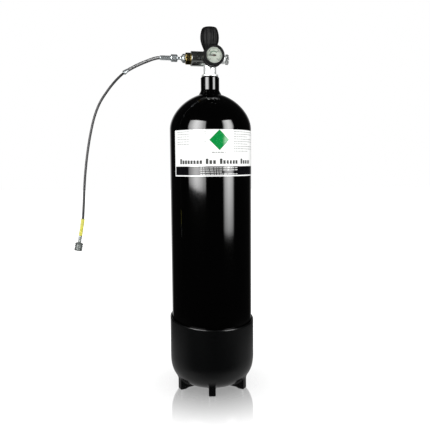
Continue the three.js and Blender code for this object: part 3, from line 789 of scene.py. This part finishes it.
def valve_field(points):
    """The forging's stem, cross body, gauge boss, bleed arm, flange and screwed tail, less its bores."""
    def rod(a, b, radius, edge=0.8):
        return rod_field(points, a, b, radius, edge)

    stem = rod((0, 0, 661), (0, 0, 697), STEM_R, 1.6)
    cross = rod((-13.3, 0, AXIS_Z), (13.2, 0, AXIS_Z), BODY_R, 1.3)
    bonnet_boss = rod((0, 0, 690), (0, 0, 708), 11.4)
    bleed_arm = rod((0, 0, AXIS_Z), (31.5, 0, AXIS_Z), 9.0, 1.0)
    gauge_boss = rod((0, 0, AXIS_Z), (0, -17, AXIS_Z), 9.0)
    flange = rod((0, 0, 658), (0, 0, 661.8), FLANGE_R, 0.7)
    tail = rod((0, 0, 626), (0, 0, 660), 12.1)
    solid = soft_min(stem, cross, 2.0)
    solid = soft_min(solid, bonnet_boss, 2.0)
    solid = soft_min(solid, bleed_arm, 2.0)
    solid = soft_min(solid, gauge_boss, 2.0)
    solid = soft_min(solid, flange, 0.8)
    solid = soft_min(solid, tail, 0.5)
    for a, b, radius in (
            ((0, 0, 689), (0, 0, 712), 8.4), ((-14.5, 0, AXIS_Z), (-9.3, 0, AXIS_Z), 7.3),
            ((-10, 0, AXIS_Z), (36, 0, AXIS_Z), 2.15), ((0, -20, GAUGE_Z), (0, -11, GAUGE_Z), 5.0),
            ((0, 0, 620), (0, 0, 638.5), 4.3)):
        solid = soft_max(solid, -rod(a, b, radius, 0.3), 0.5)
    return solid


valve_body = moulded(
    "valve_forging", valve_field, (-19, -20, 624), (34, 19, 710), BODY_CELL, VALVE, SATIN_CHROME, 40.0)
belongs(valve_body, "base", "chrome", "valve_body")

ring_turns = np.linspace(0, 2 * math.pi, 17)[:-1]
ring_section = [(13.4 + 1.1 * math.cos(t), 656.4 + 1.1 * math.sin(t)) for t in ring_turns]
neck_ring = turned("neck_seal", ring_section, UPRIGHT, BLACK_RUBBER)
belongs(neck_ring, "base", "black_rubber", "neck_o_ring")

bonnet = turned(
    "bonnet_nut",
    [(4.2, 701.7, 0.2), (8.1, 701.7, 0.3), (8.1, 708.3, 0.1), (9.4, 708.3, 0.3), (10.9, 708.9, 0.2),
     (10.9, 710.7, 0.2), (9.4, 711.3, 0.3), (7, 711.3, 0.2), (7, 713.6, 0.4), (4.2, 714, 0.3)],
    VALVE, CHROME, sides=144, reshape=hexagon(19.0))
belongs(bonnet, "base", "chrome", "bonnet")

# ---------------------------------------------------------------- handwheel
GRIP_LOW, GRIP_HIGH = 711.7, 758.0
GRIP_FLUTES = 8


def flutes(angle, r, z):
    """Eight hollows that fade out at the grip's ends, with fine ribs between them."""
    if r < 11:
        return r
    height = (z - GRIP_LOW) / (GRIP_HIGH - GRIP_LOW)
    wave = 0.5 - 0.5 * math.cos(GRIP_FLUTES * angle)
    fine = 0.12 * math.sin(GRIP_FLUTES * 6 * angle) * math.sin(math.pi * height)
    return r - 2.0 * wave ** 2.2 * math.sin(math.pi * min(1, max(0, height))) ** 0.8 + fine


grip = turned(
    "rubber_grip",
    [(10.7, GRIP_LOW, 0.3), (11.9, GRIP_LOW, 0.4), (14.2, 716.5, 8), (16.8, 723, 10), (18.7, 730, 14),
     (19.5, 737, 14), (19.1, 744, 14), (17.7, 750.8, 12), (16, 755.4, 4), (14.2, 757.4, 2),
     (12.2, GRIP_HIGH, 1), (7.6, GRIP_HIGH, 1.2), (7.6, 744.3, 0.3), (8.3, 744.3, 0.2),
     (8.3, 716.8, 0.2), (10.7, 716.4, 0.3)],
    VALVE, BLACK_RUBBER, sides=192, reshape=flutes, longest=1.5, sharp_deg=60)
belongs(grip, "handwheel", "black_rubber", "handwheel_grip")
wheel_nut = turned(
    "wheel_nut",
    [(3.2, 745.8, 0.2), (4.9, 745.8, 0.1), (5.8, 746.3, 0.1), (5.8, 749.5, 0.1), (4.9, 750, 0.1),
     (3.2, 750, 0.3)],
    VALVE, STEEL, sides=96, reshape=hexagon(10.0))
belongs(wheel_nut, "handwheel", "steel", "handwheel_nut")

# ---------------------------------------------------------------- gauge
gauge_shell = turned(
    "gauge_cup",
    [(2.9, -26.5), (16.9, -26.5, 1), (16.9, -48), (18.2, -48, 0.2), (18.2, -27, 1.5), (16.2, -25, 1.0),
     (2.9, -25, 0.2)],
    GAUGE, STEEL)
gauge_boot = turned(
    "gauge_rubber_boot",
    [(18.5, -27.5, 0.3), (20.2, -27.5, 0.6), (21.4, -29, 1), (21.4, -36, 0.3), (21, -36.6, 0.3),
     (21, -40.4, 0.3), (21.4, -41, 0.3), (21.4, -48.2, 1.6), (19.7, -50.6, 0.9), (16.3, -50.6, 0.5),
     (15.7, -49.6, 0.2), (18.5, -49.6, 0.2)],
    GAUGE, BLACK_RUBBER, sides=160)
gauge_ring = turned(
    "gauge_bezel_ring", [(16, -49.3, 0.2), (18.2, -49.3, 0.3), (18.2, -48.3, 0.2), (16, -48.3, 0.2)],
    GAUGE, CHROME)
belongs(gauge_shell, "base", "steel", "gauge_case")
belongs(gauge_boot, "base", "black_rubber", "gauge_boot")
belongs(gauge_ring, "base", "chrome", "gauge_bezel")


def lens_material():
    """Clear plastic with a trace of green."""
    material, nodes, links = new_material("lens")
    shader = nodes["Principled BSDF"]
    shader.inputs["Transmission Weight"].default_value = 1.0
    shader.inputs["IOR"].default_value = 1.3
    colours = [(0.3, (0.95, 1.0, 0.98)), (0.7, (1.0, 1.0, 0.99))]
    tinted(nodes, links, shader, (300.0, 1.0), colours, (0.01, 0.03))
    return material


lens_dome = [(16.5 * k / 12, -47.6 - 0.9 * (1 - (k / 12) ** 2)) for k in range(13)]
lens = turned(
    "gauge_glass", [(0, -46.9), *lens_dome, (16.5, -46.9)], GAUGE, lens_material(), closed=False)
belongs(lens, "base", "lens", "gauge_lens")

dial_plate = turned(
    "dial_plate", [(0.9, -44.3), (16.5, -44.3, 0.1), (16.5, -43.5, 0.1), (0.9, -43.5)], GAUGE, DIAL_WHITE)
belongs(dial_plate, "base", "dial", "gauge_dial")

DIAL_FACE = -44.3
FULL_SCALE = 300
ZERO_TURN, FULL_TURN = math.radians(-135), math.radians(135)


def dial_point(turn, radius, height=0.0):
    """A place on the dial: turn is clockwise from the top as seen from the front, radius in millimetres."""
    return (radius * math.sin(turn), -radius * math.cos(turn), DIAL_FACE - height)


def dial_sectors(name, sectors, material, height=0.05):
    """Thin raised patches on the dial; each is (first turn, last turn, inner radius, outer radius)."""
    vertices, faces = [], []
    for first, last, inner, outer in sectors:
        steps = max(1, math.ceil((last - first) / math.radians(4)))
        base = len(vertices)
        for k in range(steps + 1):
            turn = first + (last - first) * k / steps
            vertices += [dial_point(turn, r, h) for r, h in
                         ((inner, 0), (outer, 0), (outer, height), (inner, height))]
        for k in range(steps):
            for j in range(4):
                m = (j + 1) % 4
                a = base + 4 * k
                faces.append([a + j, a + m, a + 4 + m, a + 4 + j])
        faces += [[base + 3, base + 2, base + 1, base], [base + 4 * steps + j for j in range(4)]]
    return add_mesh(name, vertices, faces, GAUGE, material)


def scale_turn(value):
    """The turn on the dial of a pressure in bar."""
    return ZERO_TURN + (FULL_TURN - ZERO_TURN) * value / FULL_SCALE


ticks = []
for value in range(0, FULL_SCALE + 1, 10):
    long = value % 50 == 0
    half = (0.3 if long else 0.16) / 14
    ticks.append((scale_turn(value) - half, scale_turn(value) + half, 11.8 if long else 12.9, 14.2))
tick_marks = dial_sectors("dial_ticks", ticks, DIAL_BLACK)
colour_arc = dial_sectors("dial_green_arc", [(scale_turn(50), scale_turn(200), 7.4, 8.8)], DIAL_GREEN)
belongs(tick_marks, "base", "dial")
belongs(colour_arc, "base", "dial")

for value in (0, 100, 200, 300):
    text = bpy.data.curves.new(f"number_{value}", "FONT")
    text.body = str(value)
    text.size = 3.4 * MM
    text.align_x = "CENTER"
    text.align_y = "CENTER"
    text.extrude = 0.03 * MM
    number = bpy.data.objects.new(f"dial_number_{value}", text)
    bpy.context.scene.collection.objects.link(number)
    place = Vector(dial_point(scale_turn(value), 10.4, 0.03)) * MM
    number.matrix_world = GAUGE @ Matrix.Translation(place) @ Matrix.Rotation(math.pi, 4, "X")
    text.materials.append(DIAL_BLACK)
    belongs(number, "base", "dial")

needle_outline = [(-12.6, -0.35), (-12.6, 0.35), (4.0, 1.2), (4.2, 0.9), (4.2, -0.9), (4.0, -1.2)]
needle_vertices = [(x, y, z) for z in (-45.8, -45.3) for x, y in needle_outline]
count = len(needle_outline)
needle_faces = [list(range(count)), list(range(2 * count - 1, count - 1, -1))]
needle_faces += [[k, k + count, (k + 1) % count + count, (k + 1) % count] for k in range(count)]
needle = add_mesh("pointer_blade", needle_vertices, needle_faces, GAUGE, POINTER_BLACK)
hub = turned(
    "pointer_hub",
    [(0, -46.4), (1.5, -46.4, 0.3), (2.0, -46.1, 0.2), (2.0, -45.0, 0.1), (0.6, -45.0), (0.6, -38.0),
     (0, -38.0)],
    GAUGE, COPPER_BROWN, closed=False, sides=48)
belongs(needle, "pointer", "pointer", "gauge_pointer")
belongs(hub, "pointer", "pointer")

# ---------------------------------------------------------------- bleed screw
KNOB_FLUTES = 12


def knob_flutes(angle, r, z):
    """Twelve finger hollows round the knob's rim."""
    return r - 0.9 * (0.5 - 0.5 * math.cos(KNOB_FLUTES * angle)) ** 0.7 if r > 9 else r


bleed_knob = turned(
    "bleed_wheel",
    [(2.1, 32.1, 0.1), (6.6, 32.1, 0.4), (7.0, 33.0, 0.3), (10.0, 33.0, 0.5), (10.8, 33.9, 0.4),
     (10.8, 38.1, 0.4), (10.0, 39.0, 0.5), (6.5, 39.0, 0.4), (5.8, 38.4, 0.3), (2.1, 38.4, 0.1)],
    CROSS, CHROME, sides=144, reshape=knob_flutes)
belongs(bleed_knob, "bleed_knob", "chrome", "bleed_knob")

# ---------------------------------------------------------------- outlet and connector
outlet = turned(
    "outlet_sleeve_body",
    [(2.2, -24.4), (11.75, -24.4), (11.75, -39.6, 0.3), (12.4, -40.4, 0.2), (14.2, -40.4, 0.5),
     (15.15, -39.4, 0.5), (15.15, -14.6, 0.5), (14.1, -13.5, 0.5), (7, -13.5), (7, -9.7, 0.2),
     (2.2, -9.7, 0.2)],
    CROSS, DARK_CHROME, sides=144)
belongs(outlet, "base", "dark_chrome", "outlet_sleeve")
connector_nut = turned(
    "brass_hex_nut",
    [(6.3, -51.5, 0.3), (10.6, -51.5, 0.2), (12.4, -50.4, 0.2), (12.4, -41.9, 0.2), (10.6, -40.8, 0.2),
     (11.0, -40.6, 0.2), (11.0, -39.6, 0.2), (11.4, -39.2, 0.2), (11.4, -29.0, 0.3), (10.8, -28.5, 0.2),
     (6.3, -28.5, 0.3)],
    CROSS, BRASS, sides=180, reshape=hexagon(21.5), longest=1.0)
belongs(connector_nut, "connector_nut", "brass", "connector_nut")
hex_union = turned(
    "union_body",
    [(1.0, -46.6), (3.7, -46.6, 0.2), (3.7, -52.1, 0.1), (8.3, -52.1, 0.2), (9.53, -52.9, 0.2),
     (9.53, -56.7, 0.2), (7.9, -57.6, 0.2), (5.2, -59.6, 0.8), (3.2, -61.6, 0.5), (2.85, -62.4, 0.2),
     (2.85, -72, 0.2), (1.0, -72)],
    CROSS, NICKEL, sides=144, reshape=hexagon(16.5), longest=1.0)
belongs(hex_union, "connector", "chrome", "hex_union")
hose_nut = turned(
    "hose_end_nut",
    [(3.2, -67.4, 0.2), (5.2, -67.4, 0.3), (7.85, -69.0, 0.3), (7.85, -80.3, 0.3), (5.6, -81.9, 0.3),
     (3.7, -81.9, 0.2), (3.7, -75.6), (1.4, -75.6), (1.4, -72.4), (3.2, -72.4)],
    CROSS, NICKEL, sides=144, reshape=hexagon(13.6), longest=1.0)
belongs(hose_nut, "connector", "chrome", "hose_nut")

# ---------------------------------------------------------------- CAD pieces that keep their own shape
CAD_FINISHES = {
    BRASS: ("dip_tube", "seat_carrier", "handwheel_insert", "gauge_stem", "gauge_sector", "bourdon_tube",
            "connector_nipple"),
    STEEL: ("spindle", "handwheel_washer", "bleed_pin"),
    BLACK_RUBBER: ("connector_o_ring",),
    NYLON: ("valve_seat",),
}
for material, names in CAD_FINISHES.items():
    for name in names:
        frame["nodes"][name].data.materials.clear()
        frame["nodes"][name].data.materials.append(material)

# ---------------------------------------------------------------- floor, light and world
floor_mesh = bpy.data.meshes.new("floor")
floor_mesh.from_pydata([(-9, -9, 0), (9, -9, 0), (9, 9, 0), (-9, 9, 0)], [], [(0, 1, 2, 3)])
floor = bpy.data.objects.new("floor", floor_mesh)
bpy.context.scene.collection.objects.link(floor)
floor.visible_glossy = False


def floor_material():
    """Nearly white by itself, with a mirror sheen round the object that fades with distance."""
    material, nodes, links = new_material("floor")
    nodes.remove(nodes["Principled BSDF"])
    matt = nodes.new("ShaderNodeBsdfDiffuse")
    grain = noise_value(nodes, links, 3.0)
    links.new(ramp(nodes, links, grain, [(0.3, (0.36,) * 3), (0.7, (0.38,) * 3)]), matt.inputs["Color"])
    glow = nodes.new("ShaderNodeEmission")
    glow.inputs["Strength"].default_value = 0.86
    white = nodes.new("ShaderNodeAddShader")
    links.new(matt.outputs["BSDF"], white.inputs[0])
    links.new(glow.outputs["Emission"], white.inputs[1])
    mirror = nodes.new("ShaderNodeBsdfGlossy")
    mirror.inputs["Roughness"].default_value = 0.0
    place = nodes.new("ShaderNodeTexCoord")
    distance = add(nodes, "ShaderNodeVectorMath", operation="LENGTH")
    links.new(place.outputs["Object"], distance.inputs[0])
    fade = add(nodes, "ShaderNodeMapRange", interpolation_type="SMOOTHSTEP")
    fade.inputs["From Min"].default_value = 0.05
    fade.inputs["From Max"].default_value = 0.28
    fade.inputs["To Min"].default_value = 0.66
    fade.inputs["To Max"].default_value = 0.0
    links.new(distance.outputs["Value"], fade.inputs["Value"])
    mix = nodes.new("ShaderNodeMixShader")
    links.new(fade.outputs["Result"], mix.inputs["Fac"])
    links.new(white.outputs["Shader"], mix.inputs[1])
    links.new(mirror.outputs["BSDF"], mix.inputs[2])
    links.new(mix.outputs["Shader"], nodes["Material Output"].inputs["Surface"])
    return material


floor_mesh.materials.append(floor_material())


def softbox(name, azimuth_deg, distance, width, low, high, radiance, roll_deg, across, up):
    """A rectangle facing the bottle that only shows in reflections.

    The azimuth is from the front, positive to the right. across and up are its brightness at places along
    its width and height."""
    lamp = bpy.data.lights.new(name, "AREA")
    lamp.shape = "RECTANGLE"
    lamp.size = width
    lamp.size_y = high - low
    lamp.energy = radiance * math.pi * width * (high - low)
    lamp.use_nodes = True
    nodes, links = lamp.node_tree.nodes, lamp.node_tree.links
    geometry = nodes.new("ShaderNodeNewGeometry")
    split = nodes.new("ShaderNodeSeparateXYZ")
    links.new(geometry.outputs["Parametric"], split.inputs["Vector"])
    shares = [ramp(nodes, links, split.outputs[axis], [(at, (v,) * 3) for at, v in profile])
              for axis, profile in (("X", across), ("Y", up))]
    product = add(nodes, "ShaderNodeMath", operation="MULTIPLY")
    links.new(shares[0], product.inputs[0])
    links.new(shares[1], product.inputs[1])
    links.new(product.outputs["Value"], nodes["Emission"].inputs["Strength"])
    obj = bpy.data.objects.new(name, lamp)
    bpy.context.scene.collection.objects.link(obj)
    turn = math.radians(azimuth_deg)
    obj.matrix_world = (
        Matrix.Translation((distance * math.sin(turn), -distance * math.cos(turn), (low + high) / 2))
        @ Matrix.Rotation(turn, 4, "Z") @ Matrix.Rotation(math.pi / 2, 4, "X")
        @ Matrix.Rotation(math.radians(roll_deg), 4, "Z"))
    obj.visible_camera = False
    obj.visible_diffuse = False
    obj.visible_transmission = False


softbox(
    "left_softbox", azimuth_deg=-39, distance=1.5, width=1.8, low=0.35, high=1.5,
    radiance=17.0, roll_deg=-1.6,
    across=[(0.14, 0.0), (0.18, 0.34), (0.24, 0.46), (0.33, 0.64), (0.43, 0.9), (0.52, 1.0), (0.62, 0.87),
            (0.72, 0.7), (0.81, 0.46), (0.9, 0.34), (0.94, 0.0)],
    up=[(0.0, 0.0), (0.015, 0.65), (0.04, 0.8), (0.3, 1.0)])
softbox(
    "right_softbox", azimuth_deg=50.5, distance=1.5, width=0.9, low=0.1, high=1.47,
    radiance=15.5, roll_deg=0.0,
    across=[(0.0, 0.0), (0.08, 0.3), (0.2, 0.7), (0.5, 1.0), (0.8, 0.72), (0.92, 0.3), (1.0, 0.0)],
    up=[(0.0, 0.0), (0.022, 0.02), (0.045, 0.36), (0.13, 0.6), (0.22, 0.83), (0.4, 1.0)])

world = bpy.data.worlds.new("studio")
bpy.context.scene.world = world
world.use_nodes = True
nodes, links = world.node_tree.nodes, world.node_tree.links


def blend_value(factor, first, second):
    """first where factor is 0, second where it is 1; each is a number or a socket."""
    node = add(nodes, "ShaderNodeMix", data_type="FLOAT")
    links.new(factor, node.inputs["Factor"])
    for key, value in (("A", first), ("B", second)):
        if isinstance(value, float):
            node.inputs[key].default_value = value
        else:
            links.new(value, node.inputs[key])
    return node.outputs["Result"]


def soft_step(source, start, end, low, high):
    """low before start and high after end, with a smooth change between them."""
    node = add(nodes, "ShaderNodeMapRange", interpolation_type="SMOOTHSTEP")
    for key, value in zip(("From Min", "From Max", "To Min", "To Max"), (start, end, low, high)):
        node.inputs[key].default_value = value
    links.new(source, node.inputs["Value"])
    return node.outputs["Result"]


# Reflections see a dark studio in front, white behind at the object's rim, and a pale floor below, while
# the camera and clear or mirror surfaces see plain white.
SKY = 1.15
FRONT = 0.015
rays = nodes.new("ShaderNodeLightPath")
direction = nodes.new("ShaderNodeTexCoord")
axes = nodes.new("ShaderNodeSeparateXYZ")
links.new(direction.outputs["Generated"], axes.inputs["Vector"])
rim = soft_step(axes.outputs["Y"], 0.78, 0.99, 0.0, 1.0)
rim_light = soft_step(axes.outputs["X"], 0.1, -0.1, 0.35, 1.0)
upper = blend_value(rim, FRONT, rim_light)
floor_glow = soft_step(axes.outputs["Y"], -0.65, 0.1, 0.0, 0.32)
lower = blend_value(soft_step(axes.outputs["Z"], -0.28, -0.36, 0.0, 1.0), upper, floor_glow)
under_glow = soft_step(axes.outputs["Y"], -0.95, -0.2, 0.12, 0.42)
reflected = blend_value(soft_step(axes.outputs["Z"], -0.42, -0.62, 0.0, 1.0), lower, under_glow)
seen = blend_value(rays.outputs["Is Glossy Ray"], SKY, reflected)
seen = blend_value(rays.outputs["Is Singular Ray"], seen, 1.0)
seen = blend_value(rays.outputs["Is Camera Ray"], seen, 1.0)
links.new(seen, nodes["Background"].inputs["Strength"])
nodes["Background"].inputs["Color"].default_value = (1, 1, 1, 1)
bpy.context.scene.view_settings.view_transform = "Standard"
